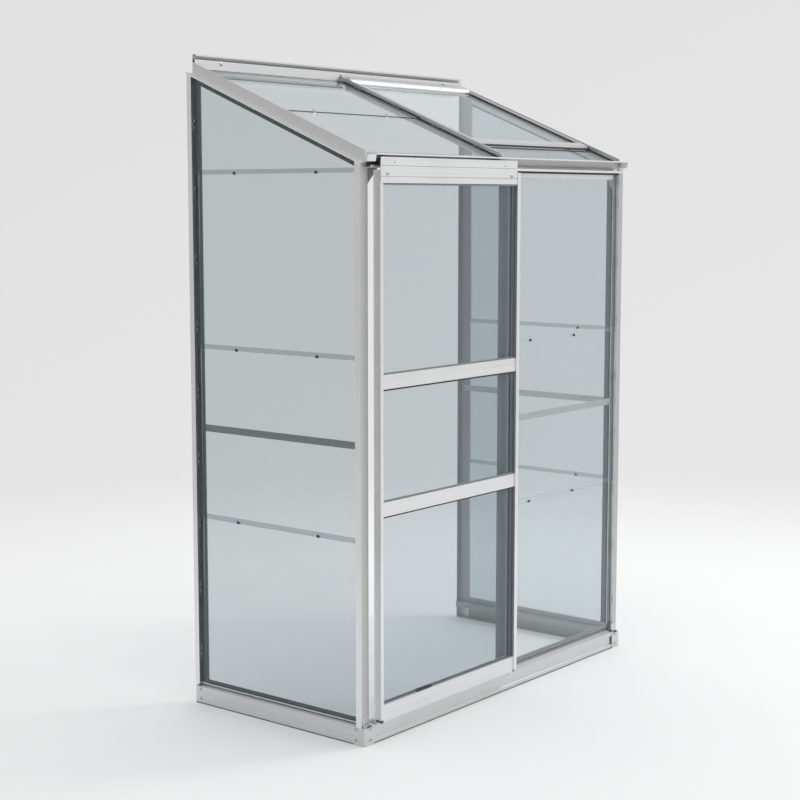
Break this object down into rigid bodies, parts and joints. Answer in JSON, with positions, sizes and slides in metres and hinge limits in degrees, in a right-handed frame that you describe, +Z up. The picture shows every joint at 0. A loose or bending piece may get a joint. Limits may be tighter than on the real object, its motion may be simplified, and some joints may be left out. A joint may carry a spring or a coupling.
{
  "type": "lean-to greenhouse",
  "caption": "Small aluminium lean-to greenhouse glazed with lapped sheets, with a sliding door hung from the eaves gutter and a roof vent.",
  "frame": {"origin": "on the ground, under the middle of the whole greenhouse's width and depth", "axes": "+X to the right seen from the front, +Y from the front towards the wall, +Z up"},
  "size_m": [1.32, 0.6754, 1.883],
  "materials": {
    "aluminium": "bare mill finish, satin",
    "stay_aluminium": "bare mill finish, satin",
    "door_aluminium": "bare mill finish, satin",
    "glass": "clear horticultural glass",
    "door_glass": "clear horticultural glass",
    "nylon": "black nylon"
  },
  "bodies": {
    "frame": {"front_sill": "aluminium", "left_sill": "aluminium", "right_sill": "aluminium", "front_left_bracket": "aluminium", "front_right_bracket": "aluminium", "rear_left_bracket": "aluminium", "rear_right_bracket": "aluminium", "front_left_post": "aluminium", "front_right_post": "aluminium", "door_post": "aluminium", "left_wall_post": "aluminium", "right_wall_post": "aluminium", "left_brace": "stay_aluminium", "right_brace": "stay_aluminium", "front_brace": "stay_aluminium", "left_gusset": "stay_aluminium", "right_gusset": "stay_aluminium", "eaves_gutter": "aluminium", "wall_bar": "aluminium", "left_roof_bar": "aluminium", "middle_roof_bar": "aluminium", "right_roof_bar": "aluminium", "left_glass": "glass", "right_glass": "glass", "front_glass": "glass", "roof_glass": "glass", "eaves_glass": "glass", "vent_top_rail": "aluminium", "vent_left_stile": "aluminium", "vent_right_stile": "aluminium", "vent_bottom_rail": "aluminium", "vent_glass": "glass"},
    "door": {"door_header": "door_aluminium", "door_left_stile": "door_aluminium", "door_right_stile": "door_aluminium", "door_upper_rail": "door_aluminium", "door_lower_rail": "door_aluminium", "door_bottom_rail": "door_aluminium", "door_upper_glass": "door_glass", "door_middle_glass": "door_glass", "door_lower_glass": "door_glass", "door_left_roller": "nylon", "door_right_roller": "nylon", "door_left_guide": "nylon", "door_right_guide": "nylon"}
  },
  "joints": [
    {"name": "door_slide", "type": "slide", "parent": "frame", "child": "door", "axis": [1, 0, 0], "range_m": [0, 0.59]}
  ]
}
